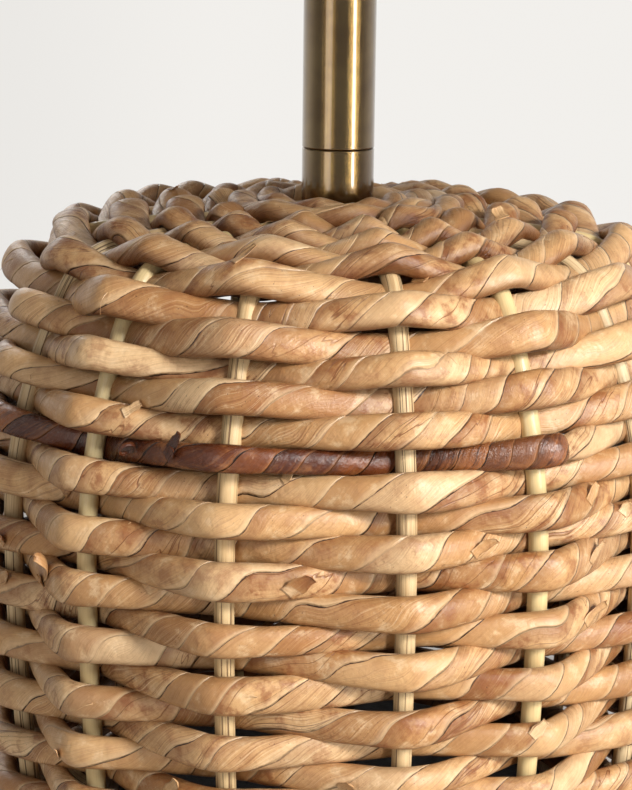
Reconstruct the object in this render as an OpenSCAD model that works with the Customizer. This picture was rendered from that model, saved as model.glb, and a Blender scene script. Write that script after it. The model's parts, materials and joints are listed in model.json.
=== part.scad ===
// Table lamp with a woven basket base, a brass neck, a harp and a drum shade.
// Millimetres, +Z up. The origin is on the table, under the middle of the lamp, and -Y is the front.

/* [Basket] */
// Upright stakes round the basket; an odd number lets one strand weave round and round
stakes = 15; // [13:2:17]
// Angle of the first stake from the front
stake_turn = -15; // [-24:0.5:24]
// Angle by which a hand-set stake strays from its even place
sway_angle = 1.8; // [0:0.1:2]
// Angle at which that straying starts
sway_start_angle = 48; // [0:1:72]
// Thickness of a stake
stake_d = 5.5; // [5:0.1:6]
// Radius of the ring of stakes at the belly
belly_r = 106.5; // [100:0.1:115]
// Height of the belly above the stakes' tails
belly_h = 113; // [105:0.5:120]
// Radius of the long bow of a stake above the belly
bow_r = 150; // [140:1:170]
// Radius of the longer, flatter bow of a stake below the belly
lower_bow_r = 760; // [600:10:900]
// Radius of a stake's bend at the foot
foot_bend_r = 17; // [15:0.5:20]
// Height above the belly at which a stake starts to bend over
shoulder_h = 72; // [66:1:78]
// Radius of a stake's bend at the shoulder
shoulder_r = 20; // [18:0.5:24]
// Slope of the crown where it leaves the shoulder
crown_slope = 9; // [8:0.5:12]

/* [Strand] */
// Rise of the strand in one turn, measured along a stake
row_pitch = 8; // [7.8:0.1:9]
// Thickness of the strand, in and out of the basket
strand_t = 6; // [5:0.1:6.4]
// How much wider than the pitch the strand swells in front of a stake
over_swell = 1.6; // [1:0.1:1.8]
// How much narrower than the pitch it is where rows cross
cross_pinch = 1.4; // [1.2:0.1:2]
// Width of the strand where it is coiled flat on the hub
coil_w = 7.4; // [6.8:0.1:7.5]
// Half the length over which the strand lies flat on a stake
flat_half = 4.2; // [3.6:0.1:5]
// Angle up the foot bend at which weaving starts
start_angle = 21; // [18:0.5:26]
// Gap between the strand and what it passes
weave_gap = 0.4; // [0.35:0.05:0.5]

/* [Base] */
// Thickness of the felt under the plinth
felt_t = 2; // [1.5:0.5:4]
// Radius of the felt
felt_r = 80; // [70:1:82]
// Height of the plinth
plinth_h = 16; // [15:0.5:20]
// Radius of the plinth
plinth_r = 84; // [82:0.5:85]
// Radius of the recess under the plinth for the nut
recess_r = 26; // [20:1:34]
// Depth of that recess
recess_h = 11; // [10.5:0.5:12]
// Thickness of the floor that the stakes' tails lie in
floor_t = 12; // [10:0.5:14]
// Radius of the floor
floor_r = 81; // [78:0.5:82]
// Radius at which the stakes' tails end
tail_r = 52; // [45:1:60]
// Radius of the iron weight
weight_r = 68; // [50:1:70]
// Thickness of the iron weight
weight_t = 12; // [8:0.5:16]
// Bore of the cord's way in through the plinth
inlet_d = 9; // [8:0.5:9]
// Bore of the grommet in it
grommet_bore = 6.5; // [5:0.5:7]
// Diameter of the grommet's flange
grommet_flange = 13; // [12:0.5:14]

/* [Neck] */
// Radius of the hub that holds the tops of the stakes
hub_r = 30; // [27:0.5:32]
// Thickness of the hub
hub_t = 9; // [8:0.5:11]
// Radius at which the stakes end inside the hub
stake_end_r = 21; // [19:0.5:23]
// Diameter of the neck tube and of its collar
neck_d = 22; // [20:0.5:25]
// Wall of the neck tube
neck_wall = 1; // [0.8:0.1:1.5]
// Height of the collar above the weaving
collar_show = 11.8; // [10:0.1:20]
// Length of the neck tube
neck_len = 72; // [60:1:90]
// Rounding of the edges at the seam between collar and tube
seam_round = 0.5; // [0.3:0.1:0.8]
// Height of the spigot that centres the tube
spigot_h = 8; // [5:0.5:12]
// Diameter of the threaded rod
rod_d = 10; // [9.5:0.1:10]
// Bore of the rod, for the wires
rod_bore = 7; // [6:0.1:7.5]
// Outer diameter of the spacer round the rod in the basket
spacer_d = 16; // [14:0.5:20]
// Diameter of the washers
washer_d = 24; // [22:0.5:30]
// Thickness of the washers and of the neck cap
washer_t = 2; // [1.5:0.1:2.5]
// Size across the flats of the nuts
nut_af = 16; // [15:0.5:17]
// Height of the bottom nut
nut_h = 5; // [4:0.5:6]
// Clearance of a hole round the rod
rod_fit = 0.2; // [0.1:0.05:0.3]
// Clearance between pieces that are pushed together
fit = 0.1; // [0.05:0.05:0.15]

/* [Harp] */
// Distance from the middle to each prong of the saddle
prong_x = 28; // [27:0.5:32]
// Height of a prong
prong_h = 14; // [12:0.5:16]
// Width of a prong
prong_w = 4; // [3:0.1:5]
// Width of the saddle strip
saddle_w = 16; // [15:0.5:18]
// Thickness of the saddle strip
saddle_t = 1.6; // [1.2:0.1:2]
// Rise of the saddle's arms from its middle to the prongs
saddle_rise = 6; // [4:0.5:8]
// Thickness of the harp wire
wire_d = 4; // [3.5:0.1:4.2]
// Straight length of the harp's legs
leg_len = 36; // [34:0.5:40]
// Radius of the outward bend above each leg
flare_r = 40; // [35:1:50]
// Angle of that bend
flare_turn = 27; // [24:0.5:30]
// Radius of the bow round the bulb
bow_wire_r = 121; // [114:1:123]
// Angle of the bow
bow_turn = 73; // [70:0.5:76]
// Thickness of the shoulder on the harp's top
stud_flange_t = 2.5; // [2:0.1:3]
// Diameter of that shoulder
stud_flange_d = 16; // [14:0.5:18]
// Diameter of the stud for the finial
stud_d = 6.4; // [6:0.1:6.4]
// Height of the stud
stud_h = 14; // [12:0.5:16]
// Wall of the locking sleeves
sleeve_wall = 0.8; // [0.6:0.1:1]
// Height of the locking sleeves
sleeve_h = 12; // [10:0.5:13]

/* [Socket] */
// Diameter of the socket shell
shell_d = 35; // [34:0.5:38]
// Wall of the socket shell and cap
shell_wall = 0.8; // [0.6:0.1:1]
// Height of the socket cap
cap_h = 20; // [18:0.5:24]
// Height of the shell
shell_h = 44; // [43:0.5:48]
// How far the shell sits inside the cap
shell_lap = 5; // [4:0.5:6]
// Wall of the paper liner
liner_wall = 0.7; // [0.5:0.1:0.9]
// Height of the core below the bulb's shell
core_h = 18; // [16:0.5:20]
// Inner diameter of the screw shell that takes the bulb
screw_d = 27; // [26.6:0.1:27.4]
// Wall of the screw shell
screw_wall = 0.6; // [0.4:0.1:0.8]
// Height of the screw shell
screw_h = 24; // [22:0.5:25]
// Height of the switch spindle above the shell's lower edge
spindle_up = 9; // [8:0.5:10]
// Diameter of the switch spindle
spindle_d = 4; // [3.5:0.1:4.5]
// Diameter of the switch knob
knob_d = 12; // [10:0.5:13]
// Length of the switch knob
knob_len = 17; // [14:0.5:20]
// Grip flutes on the knob
knob_flutes = 10; // [8:1:14]

/* [Bulb] */
// Diameter of the bulb's glass
bulb_d = 60; // [55:1:64]
// Length of the bulb above the socket
bulb_len = 84; // [78:1:88]
// Diameter of the bulb's neck where it meets its cap
bulb_neck_d = 26; // [24:0.5:27]
// Diameter of the bulb's screw cap
bulb_cap_d = 26; // [25.6:0.1:26.2]
// Length of the screw cap
bulb_cap_h = 22; // [20:0.5:23]

/* [Shade] */
// Radius of the shade at its lower edge
shade_r = 200; // [185:1:210]
// Radius of the shade at its upper edge
shade_top_r = 180; // [176:1:190]
// Height of the shade
shade_h = 250; // [240:1:256]
// How far the shade's upper edge stands above the harp's shoulder
spider_drop = 22; // [16:0.5:28]
// Thickness of the linen
linen_t = 0.9; // [0.6:0.1:1.2]
// Thickness of the stiff lining
lining_t = 0.5; // [0.4:0.1:0.8]
// Thickness of the ring and spider wire
ring_d = 3.2; // [3:0.1:4]
// Depth of the folded hem at each edge
hem_h = 11; // [9:0.5:14]
// Thickness of the hem tape
hem_t = 0.6; // [0.5:0.1:0.8]
// Diameter of the spider's washer
spider_d = 26; // [24:0.5:32]
// Thickness of that washer
spider_t = 2; // [1.6:0.1:2.5]
// Gap between pieces that turn on one another
turn_gap = 0.3; // [0.2:0.05:0.4]

/* [Finial] */
// Diameter of the finial's ball
finial_ball = 15; // [13:0.5:17]
// Diameter of the finial's base
finial_base_d = 15; // [14:0.5:18]
// Height of the finial's base and neck below the ball
finial_stem = 15; // [14.5:0.5:17]

/* [Hidden] */
$fn = 96;

straw = "#c79c66";
cane = "#dcbf8e";
dark_straw = "#6e3a22";
old_brass = "#83683c";
bright_brass = "#b8943f";
steel = "#9a9ca0";
wood = "#b98d5c";
linen = "#ece5d6";

// Stake centre line: arcs in the plane of radius and height, each [centre, radius, start, end]
plinth_top = felt_t + plinth_h;
tail_z = plinth_top + fit + stake_d / 2;
// Bent rods are joined at beads barely thicker than the rod
bead_swell = 0.1;
bead_lap = 0.1;
belly_z = tail_z + belly_h;
bow_c = [belly_r - bow_r, belly_z];
lower_bow_c = [belly_r - lower_bow_r, belly_z];
foot_a = asin((belly_h - foot_bend_r) / (lower_bow_r - foot_bend_r));
shoulder_a = asin(shoulder_h / bow_r);
crown_a = 90 - crown_slope;
function along(c, r, a) = c + r * [cos(a), sin(a)];
foot_c = along(lower_bow_c, lower_bow_r - foot_bend_r, -foot_a);
shoulder_c = along(bow_c, bow_r - shoulder_r, shoulder_a);
crown_r = shoulder_r + (shoulder_c.x - hub_r) / sin(crown_slope);
crown_c = along(shoulder_c, shoulder_r - crown_r, crown_a);
hub_z = crown_c.y + crown_r;
foot_arc = [foot_c, foot_bend_r, -90, -foot_a];
lower_arc = [lower_bow_c, lower_bow_r, -foot_a, 0];
side_arc = [bow_c, bow_r, 0, shoulder_a];
shoulder_arc = [shoulder_c, shoulder_r, shoulder_a, crown_a];
crown_arc = [crown_c, crown_r, crown_a, 90];

// The strand climbs the same arcs from the first row, then runs straight in over the hub
climb = [
  [foot_c, foot_bend_r, start_angle - 90, -foot_a], lower_arc, side_arc, shoulder_arc, crown_arc
];
function arc_len(a) = a[1] * (a[3] - a[2]) * PI / 180;
function climb_to(i) = i == 0 ? 0 : climb_to(i - 1) + arc_len(climb[i - 1]);
// Angle on the arcs at a length along them
function angle_at(u, i = 0) = i == len(climb) ? 90
  : u <= arc_len(climb[i]) ? climb[i][2] + u / climb[i][1] * 180 / PI
  : angle_at(u - arc_len(climb[i]), i + 1);
function place_at(u, i = 0) = i == len(climb) ? [hub_r - u, hub_z]
  : u <= arc_len(climb[i]) ? along(climb[i][0], climb[i][1], angle_at(u, i))
  : place_at(u - arc_len(climb[i]), i + 1);

// Weaving, counted in stakes passed
step = 360 / stakes;
sway_waves = 5;
// Angle round the basket of an even place, after straying
function swayed(a) = a + sway_angle * sin(sway_waves * a + sway_start_angle);
weave_off = stake_d / 2 + weave_gap + strand_t / 2;
lift = hub_t / 2 + weave_gap + strand_t / 2;
lift_r = hub_r + weave_gap + (row_pitch + over_swell) / 2;
per_stake = row_pitch / stakes;
collar_r = neck_d / 2;
coil_end_r = collar_r + weave_gap + coil_w / 2;
climbed = climb_to(len(climb));
lift_n = ceil((climbed - lift_r + hub_r) / per_stake);
coil_end_n = floor((climbed + hub_r - coil_end_r) / per_stake);
trim_n = lift_n - 2 * stakes;
foot_end_n = ceil(climb_to(1) / per_stake) + stakes;
belly_n = foot_end_n + 8 * stakes;
dark_n = 18 * stakes + 9;
dark_end_n = dark_n + 9;
shoulder_n = floor(climb_to(3) / per_stake);
crown_n = ceil(climb_to(4) / per_stake);
// The strand lies flat on a stake at the foot and from here on; between, the stakes stand so wide
// apart that it only bends in front of one
flat_n = shoulder_n - 2 * stakes;
function lies_flat(n) = (n < foot_end_n || n >= flat_n) && n < lift_n;
function over(n) = n >= lift_n ? lift : (n % 2 == 0 ? -weave_off : weave_off);
function over_w(n) = n >= lift_n ? coil_w
  : n >= trim_n ? 2 * row_pitch - coil_w - fit
  : row_pitch + over_swell;
function cross_w(n) = n > lift_n ? coil_w : row_pitch - cross_pinch;
// Half a lap flat on a stake, as an angle that shrinks where the stakes crowd together
function flat_a(r) = min(asin(flat_half / r), 0.21 * step);

// One ring of the strand: width w across the row, at offset o from the stakes' line
function strand_ring(n, o, w, turn) = let(
    u = (n + turn) * per_stake,
    p = place_at(u),
    a = angle_at(u),
    t = strand_t / 2,
    phi = swayed(stake_turn + step * (n + turn)) - 90
  ) [
    for (q = [[t, -w / 4], [t, w / 4], [0, w / 2], [-t, w / 4], [-t, -w / 4], [0, -w / 2]])
      let(r = p.x + (o + q.x) * cos(a) - q.y * sin(a))
        [r * cos(phi), r * sin(phi), p.y + (o + q.x) * sin(a) + q.y * cos(a)]
  ];

// Two rings at each stake where it lies flat, or one, and one where the strand crosses its neighbour
function strand_rings(from, to) = [
  for (n = [from:to - 1])
    let(lap = flat_a(place_at(n * per_stake).x) / step)
      each [
        strand_ring(n, (over(n - 1) + over(n)) / 2, cross_w(n), n == from ? -0.49 : -0.5),
        if (lies_flat(n)) strand_ring(n, over(n), over_w(n), -lap),
        strand_ring(n, over(n), over_w(n), lies_flat(n) ? lap : 0)
      ],
  strand_ring(to - 1, (over(to - 1) + over(to)) / 2, cross_w(to), 0.49)
];

// A length of strand that passes the stakes from one number up to, but not including, another
module strand(from, to) {
  rings = strand_rings(from, to);
  k = len(rings[0]);
  last = (len(rings) - 1) * k;
  polyhedron(
    points = [for (ring = rings) each ring],
    faces = [
      [for (j = [k - 1:-1:0]) j],
      [for (j = [0:k - 1]) last + j],
      for (i = [0:len(rings) - 2], j = [0:k - 1])
        let(a = i * k + j, b = i * k + (j + 1) % k)
          each [[a, b, a + k], [b, b + k, a + k]]
    ]
  );
}

// Part of a ring of round rod, standing in the plane of radius and height, and a bead on its end
module arc_rod(arc, d) {
  trim = bead_lap / arc[1] * 180 / PI;
  end = along(arc[0], arc[1], arc[3]);
  translate([arc[0].x, 0, arc[0].y])
    rotate([90, 0, 0])
      rotate([0, 0, arc[2] + trim])
        rotate_extrude(angle = arc[3] - arc[2] - 2 * trim)
          translate([arc[1], 0]) circle(d = d);
  translate([end.x, 0, end.y]) sphere(d = d + bead_swell);
}

module round_stakes() {
  for (i = [0:stakes - 1])
    rotate([0, 0, swayed(stake_turn + i * step) - 90]) children();
}

module stake(d) {
  for (arc = [foot_arc, lower_arc, side_arc, shoulder_arc, crown_arc]) arc_rod(arc, d);
  translate([tail_r, 0, tail_z]) rotate([0, 90, 0]) cylinder(d = d, h = foot_c.x - tail_r - bead_lap);
  translate([foot_c.x, 0, tail_z]) sphere(d = d + bead_swell);
  translate([stake_end_r, 0, hub_z]) rotate([0, 90, 0])
    cylinder(d = d, h = hub_r - stake_end_r - bead_lap);
}

module stakes() {
  color(cane) round_stakes() stake(stake_d);
}

module foot_rows() {
  color(straw) strand(0, foot_end_n);
}

module lower_rows() {
  color(straw) strand(foot_end_n, belly_n);
}

module belly_rows() {
  color(straw) strand(belly_n, dark_n);
}

module dark_strand() {
  color(dark_straw) strand(dark_n, dark_end_n);
}

module upper_rows() {
  color(straw) strand(dark_end_n, shoulder_n);
}

module shoulder_rows() {
  color(straw) strand(shoulder_n, crown_n);
}

module crown_rows() {
  color(straw) strand(crown_n, lift_n);
}

module crown_coil() {
  color(straw) strand(lift_n, coil_end_n);
}

// Base
rod_hole = rod_d + 2 * rod_fit;
recess_top = felt_t + recess_h;
nut_z = recess_top - washer_t - nut_h;
rod_z = nut_z - 1;
floor_top = plinth_top + floor_t;
weight_top = floor_top + weight_t;
inlet_z = felt_t + recess_h / 2;
edge_round = 2;
flange_t = 1.5;

// A disc with its upper edge rounded
module eased_disc(r, h, ease) {
  rotate_extrude() {
    square([r - ease, h]);
    square([r, h - ease]);
    translate([r - ease, h - ease]) circle(ease);
  }
}

module felt_pad() {
  color("#4a4038") difference() {
    cylinder(r = felt_r, h = felt_t);
    translate([0, 0, -1]) cylinder(r = recess_r, h = felt_t + 2);
  }
}

module plinth() {
  color(wood) difference() {
    translate([0, 0, felt_t]) eased_disc(plinth_r, plinth_h, edge_round);
    translate([0, 0, felt_t - 1]) cylinder(r = recess_r, h = recess_h + 1);
    cylinder(d = rod_hole, h = plinth_top + 1);
    translate([0, 0, inlet_z]) rotate([-90, 0, 0]) cylinder(d = inlet_d, h = plinth_r + 1);
    translate([0, plinth_r - flange_t - 0.5, inlet_z])
      rotate([-90, 0, 0]) cylinder(d = grommet_flange + 2 * fit, h = flange_t + 1);
  }
}

module cord_grommet() {
  flange_y = plinth_r - flange_t - 0.5;
  color("#2c2a28") translate([0, 0, inlet_z]) rotate([-90, 0, 0]) difference() {
    union() {
      translate([0, 0, recess_r + 10]) cylinder(d = inlet_d - 2 * fit, h = flange_y - recess_r - 10);
      translate([0, 0, flange_y]) cylinder(d = grommet_flange, h = flange_t);
    }
    cylinder(d = grommet_bore, h = plinth_r + 1);
  }
}

module rod_nut() {
  color(steel) translate([0, 0, nut_z]) difference() {
    cylinder(d = nut_af / cos(30), h = nut_h, $fn = 6);
    translate([0, 0, -1]) cylinder(d = rod_d + 2 * fit, h = nut_h + 2);
  }
}

module rod_washer() {
  color(steel) translate([0, 0, nut_z + nut_h]) difference() {
    cylinder(d = washer_d, h = washer_t);
    translate([0, 0, -1]) cylinder(d = rod_hole, h = washer_t + 2);
  }
}

module basket_floor() {
  color(wood) difference() {
    translate([0, 0, plinth_top]) cylinder(r = floor_r, h = floor_t);
    translate([0, 0, plinth_top - 1]) cylinder(d = rod_hole, h = floor_t + 2);
    round_stakes() {
      translate([tail_r - fit, 0, tail_z]) rotate([0, 90, 0])
        cylinder(d = stake_d + 2 * fit, h = floor_r);
      translate([tail_r - fit, -stake_d / 2 - fit, plinth_top - 1])
        cube([floor_r, stake_d + 2 * fit, tail_z - plinth_top + 1]);
    }
  }
}

module iron_weight() {
  color("#3b3b3d") translate([0, 0, floor_top]) difference() {
    eased_disc(weight_r, weight_t, edge_round);
    translate([0, 0, -1]) cylinder(d = rod_hole, h = weight_t + 2);
  }
}

module spacer_tube() {
  color(steel) translate([0, 0, weight_top]) difference() {
    cylinder(d = spacer_d, h = hub_z - hub_t / 2 - weight_top);
    translate([0, 0, -1]) cylinder(d = rod_hole, h = hub_z - weight_top);
  }
}

module hub_disc() {
  color(wood) difference() {
    translate([0, 0, hub_z - hub_t / 2]) cylinder(r = hub_r, h = hub_t);
    translate([0, 0, hub_z - hub_t]) cylinder(d = rod_hole, h = 2 * hub_t);
    round_stakes() translate([stake_end_r - fit, 0, hub_z])
      rotate([0, 90, 0]) cylinder(d = stake_d + 2 * fit, h = hub_r);
  }
}

// Neck
hub_top = hub_z + hub_t / 2;
weave_top = hub_z + lift + strand_t / 2;
collar_top = weave_top + collar_show;
tube_bore = neck_d - 2 * neck_wall;
tube_top = collar_top + neck_len;
saddle_z = tube_top + washer_t;
socket_z = saddle_z + saddle_t;
rod_in_cap = 9;

module neck_collar() {
  color(old_brass) rotate_extrude() difference() {
    union() {
      translate([0, hub_top]) square([collar_r, collar_top - hub_top - seam_round]);
      translate([0, hub_top]) square([collar_r - seam_round, collar_top - hub_top]);
      translate([collar_r - seam_round, collar_top - seam_round]) circle(seam_round);
      translate([0, collar_top - 1]) square([tube_bore / 2 - fit, spigot_h + 1]);
    }
    translate([0, hub_top - 1]) square([rod_hole / 2, collar_top]);
  }
}

module neck_tube() {
  color(old_brass) translate([0, 0, collar_top]) rotate_extrude() difference() {
    union() {
      translate([0, seam_round]) square([collar_r, neck_len - seam_round]);
      square([collar_r - seam_round, neck_len]);
      translate([collar_r - seam_round, seam_round]) circle(seam_round);
    }
    translate([0, -1]) square([tube_bore / 2, neck_len + 2]);
  }
}

module neck_cap() {
  color(old_brass) difference() {
    union() {
      translate([0, 0, tube_top]) cylinder(d = neck_d, h = washer_t);
      translate([0, 0, tube_top - spigot_h / 2]) cylinder(d = tube_bore - 2 * fit, h = spigot_h / 2);
    }
    translate([0, 0, tube_top - spigot_h]) cylinder(d = rod_hole, h = 2 * spigot_h);
  }
}

module threaded_rod() {
  color(steel) translate([0, 0, rod_z]) difference() {
    cylinder(d = rod_d, h = socket_z + rod_in_cap - rod_z);
    translate([0, 0, -1]) cylinder(d = rod_bore, h = socket_z + rod_in_cap - rod_z + 2);
  }
}

// Harp
leg_x = prong_x + saddle_t / 2 + fit + wire_d / 2;
seat_z = saddle_z + saddle_rise + saddle_t;
leg_z = seat_z + fit;
saddle_end = leg_x + wire_d / 2 + 0.6;
saddle_flat = 13;
bow_end_a = bow_turn - flare_turn;
bow_x = leg_x + flare_r * (1 - cos(flare_turn)) + bow_wire_r * (cos(bow_end_a) - cos(flare_turn));
top_bend_r = bow_x / cos(bow_end_a);
harp_top = leg_z + leg_len + flare_r * sin(flare_turn)
  + bow_wire_r * (sin(flare_turn) + sin(bow_end_a)) + top_bend_r * (1 - sin(bow_end_a));
boss_d = 9;
boss_lap = 1;
flange_z = harp_top + wire_d / 2 + boss_lap;
spider_z = flange_z + stud_flange_t + turn_gap;

// Round wire laid from the origin along +Y: each step is [length] or [radius, turn to the right]
module wire(steps, d, i = 0) {
  if (i < len(steps)) {
    r = steps[i][0];
    if (len(steps[i]) == 1) {
      translate([0, bead_lap]) rotate([-90, 0, 0]) cylinder(d = d, h = r - 2 * bead_lap);
      translate([0, r]) wire(steps, d, i + 1);
    } else {
      turn = steps[i][1];
      side = sign(turn);
      trim = bead_lap / r * 180 / PI;
      sphere(d = d + bead_swell);
      translate([side * r, 0]) rotate([0, 0, side > 0 ? 180 - turn + trim : trim])
        rotate_extrude(angle = abs(turn) - 2 * trim) translate([r, 0]) circle(d = d);
      translate([side * r * (1 - cos(turn)), r * sin(abs(turn))])
        rotate([0, 0, -turn]) wire(steps, d, i + 1);
    }
  }
}

module both_sides() {
  children();
  mirror([1, 0, 0]) children();
}

module harp_wire(d) {
  both_sides() translate([leg_x, 0, leg_z]) rotate([90, 0, 0]) wire([
    [leg_len], [flare_r, flare_turn], [bow_wire_r, -bow_turn], [top_bend_r, bow_end_a - 90]
  ], d);
  translate([0, 0, harp_top]) sphere(d = d + bead_swell);
}

module harp_bow() {
  color(bright_brass) harp_wire(wire_d);
}

module harp_saddle() {
  rise_run = saddle_end - saddle_flat;
  color(bright_brass) difference() {
    both_sides() translate([0, 0, saddle_z]) {
      rotate([90, 0, 0]) translate([0, 0, -saddle_w / 2]) linear_extrude(saddle_w) polygon([
        [0, 0], [saddle_flat, 0], [prong_x - 3, saddle_rise], [saddle_end, saddle_rise],
        [saddle_end, saddle_rise + saddle_t], [prong_x - 3, saddle_rise + saddle_t],
        [saddle_flat, saddle_t], [0, saddle_t]
      ]);
      translate([prong_x - saddle_t / 2, -prong_w / 2, saddle_rise])
        cube([saddle_t, prong_w, saddle_t + prong_h]);
    }
    translate([0, 0, saddle_z - 1]) cylinder(d = rod_hole, h = saddle_t + 2);
  }
}

module harp_stud() {
  color(bright_brass) difference() {
    union() {
      translate([0, 0, harp_top - wire_d / 2 - boss_lap])
        cylinder(d = boss_d, h = wire_d + 2 * boss_lap);
      translate([0, 0, flange_z]) cylinder(d = stud_flange_d, h = stud_flange_t);
      translate([0, 0, flange_z]) cylinder(d = stud_d, h = stud_flange_t + stud_h);
    }
    harp_wire(wire_d + 2 * fit);
  }
}

prong_in = prong_x - saddle_t / 2;
sleeve_x = (prong_in + leg_x + wire_d / 2) / 2;
sleeve_bore_r = norm([sleeve_x - prong_in, prong_w / 2]) + turn_gap;

module sleeve(side) {
  color(bright_brass) translate([side * sleeve_x, 0, seat_z + turn_gap]) difference() {
    cylinder(r = sleeve_bore_r + sleeve_wall, h = sleeve_h);
    translate([0, 0, -1]) cylinder(r = sleeve_bore_r, h = sleeve_h + 2);
  }
}

module left_sleeve() {
  sleeve(-1);
}

module right_sleeve() {
  sleeve(1);
}

// Socket
shell_z = socket_z + cap_h - shell_lap;
shell_top = shell_z + shell_h;
shell_r = shell_d / 2 - shell_wall - fit;
liner_r = shell_r - shell_wall - fit;
core_r = liner_r - liner_wall - fit;
core_z = shell_z + 1;
core_top = core_z + core_h;
spindle_z = shell_z + spindle_up;
cap_corner = 8;
cap_neck_h = 5;
cap_neck_r = 7.5;
block_w = 22;
core_disc_h = 4;
spindle_in = 8;

// Half the section of a cup: a disc of radius r with its lower edge rounded
module cup_half(r, corner, h) {
  square([r - corner, h]);
  translate([0, corner]) square([r, h - corner]);
  translate([r - corner, corner]) circle(corner);
}

module socket_cap() {
  color(bright_brass) translate([0, 0, socket_z]) rotate_extrude() difference() {
    union() {
      square([cap_neck_r, cap_neck_h + 1]);
      translate([0, cap_neck_h]) cup_half(shell_d / 2, cap_corner, cap_h - cap_neck_h);
    }
    translate([0, cap_neck_h + shell_wall])
      cup_half(shell_d / 2 - shell_wall, cap_corner - shell_wall, cap_h);
    translate([0, -1]) square([rod_d / 2 + fit, cap_h]);
  }
}

module spindle_way(d) {
  translate([0, 0, spindle_z]) rotate([90, 0, 0]) cylinder(d = d, h = shell_d);
}

module socket_shell() {
  color(bright_brass) difference() {
    translate([0, 0, shell_z]) rotate_extrude() {
      translate([shell_r - shell_wall, 0]) square([shell_wall, shell_h]);
      translate([shell_r, shell_h - 1]) circle(0.8);
      translate([shell_r, shell_lap + 11]) circle(0.8);
    }
    spindle_way(spindle_d + 2 * turn_gap);
  }
}

module socket_liner() {
  color("#d8cdb8") difference() {
    translate([0, 0, shell_z]) cylinder(r = liner_r, h = shell_h - 2);
    translate([0, 0, shell_z - 1]) cylinder(r = liner_r - liner_wall, h = shell_h);
    spindle_way(spindle_d + 2 * turn_gap);
  }
}

module socket_core() {
  color("#26221f") difference() {
    union() {
      translate([0, 0, core_top - core_disc_h]) cylinder(r = core_r, h = core_disc_h);
      intersection() {
        translate([0, 0, core_z]) cylinder(r = core_r, h = core_h);
        translate([-block_w / 2, -core_r, core_z]) cube([block_w, 2 * core_r, core_h]);
      }
    }
    translate([0, -core_r + spindle_in, spindle_z]) rotate([90, 0, 0])
      cylinder(d = spindle_d + fit, h = core_r);
    for (side = [-1, 1]) translate([side * (block_w / 2 - 4), 0, core_z + 5]) rotate([0, side * 90, 0])
      cylinder(d = 3 + 2 * fit, h = 6);
  }
}

module terminal_screws() {
  color(bright_brass) for (side = [-1, 1])
    translate([side * (block_w / 2 - 3.5), 0, core_z + 5]) rotate([0, side * 90, 0]) {
      cylinder(d = 3, h = 3.5 + fit);
      translate([0, 0, 3.5 + fit]) difference() {
        cylinder(d = 6, h = 1.8);
        translate([-3.5, -0.4, 1]) cube([7, 0.8, 1]);
      }
    }
}

module screw_shell() {
  color("#b9bcc0") translate([0, 0, core_top]) difference() {
    cylinder(d = screw_d + 2 * screw_wall, h = screw_h);
    translate([0, 0, -1]) cylinder(d = screw_d, h = screw_h + 2);
  }
}

contact_h = 1.2;
contact_l = 12;
contact_w = 5;

module centre_contact() {
  color(bright_brass) translate([0, 0, core_top]) difference() {
    union() {
      translate([-contact_l / 2, -contact_w / 2, 0]) cube([contact_l, contact_w, contact_h / 2]);
      cylinder(d = 4.6, h = contact_h);
    }
    translate([1.8 - contact_l / 2, 0, -1]) cylinder(d = 1.6, h = 3);
  }
}

// Switch
knob_y = shell_d / 2 + 1.5;
knob_dome = 2;
spindle_end = knob_y + 10;

module switch_spindle() {
  color(steel) translate([0, -core_r + spindle_in - fit, spindle_z]) rotate([90, 0, 0])
    cylinder(d = spindle_d, h = spindle_end - core_r + spindle_in - fit);
}

module switch_knob() {
  color("#1f1d1b") translate([0, -knob_y, spindle_z]) rotate([90, 0, 0]) difference() {
    eased_disc(knob_d / 2, knob_len, knob_dome);
    translate([0, 0, -1]) cylinder(d = spindle_d + 2 * fit, h = spindle_end - knob_y + 1 + fit);
    for (i = [0:knob_flutes - 1]) rotate([0, 0, i * 360 / knob_flutes])
      translate([knob_d / 2 + 0.4, 0, 3]) cylinder(d = 2, h = knob_len);
  }
}

// Bulb
tip_z = core_top + contact_h + turn_gap;
tip_h = 1.2;
cone_h = 3;
cone_d = 10;
cone_top_d = 21;
bulb_cap_z = tip_z + tip_h + cone_h;
glass_z = bulb_cap_z + bulb_cap_h;
glass_t = 1;
neck_bend = 35;

// Half the section of the glass: a neck that flows into a ball, drawn in by an inset
module bulb_half(inset) {
  r = bulb_d / 2 - inset;
  n = bulb_neck_d / 2 - inset;
  bend = neck_bend + inset;
  c = bulb_len - bulb_d / 2;
  h = c - sqrt(pow(r + bend, 2) - pow(n + bend, 2));
  meet = [r * (n + bend), c * (r + bend) - r * (c - h)] / (r + bend);
  difference() {
    union() {
      intersection() {
        translate([0, c]) circle(r);
        translate([0, -1]) square([r, c + r + 1]);
      }
      square(meet);
    }
    translate([n + bend, h]) circle(bend);
    translate([n, 0]) square([bend, h]);
  }
}

module bulb_glass() {
  color("#f4f1e8") translate([0, 0, glass_z]) rotate_extrude() difference() {
    bulb_half(0);
    bulb_half(glass_t);
    translate([0, -1]) square([bulb_neck_d / 2 - glass_t, 2]);
  }
}

module bulb_cap() {
  color("#b9bcc0") translate([0, 0, bulb_cap_z]) difference() {
    cylinder(d = bulb_cap_d, h = bulb_cap_h);
    translate([0, 0, 0.6]) cylinder(d = bulb_cap_d - 1.2, h = bulb_cap_h);
  }
}

module bulb_contact() {
  color("#2b2b2d") {
    translate([0, 0, tip_z]) cylinder(d = 9, h = tip_h);
    translate([0, 0, tip_z + tip_h]) cylinder(d1 = cone_d, d2 = cone_top_d, h = cone_h);
  }
}

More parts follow.
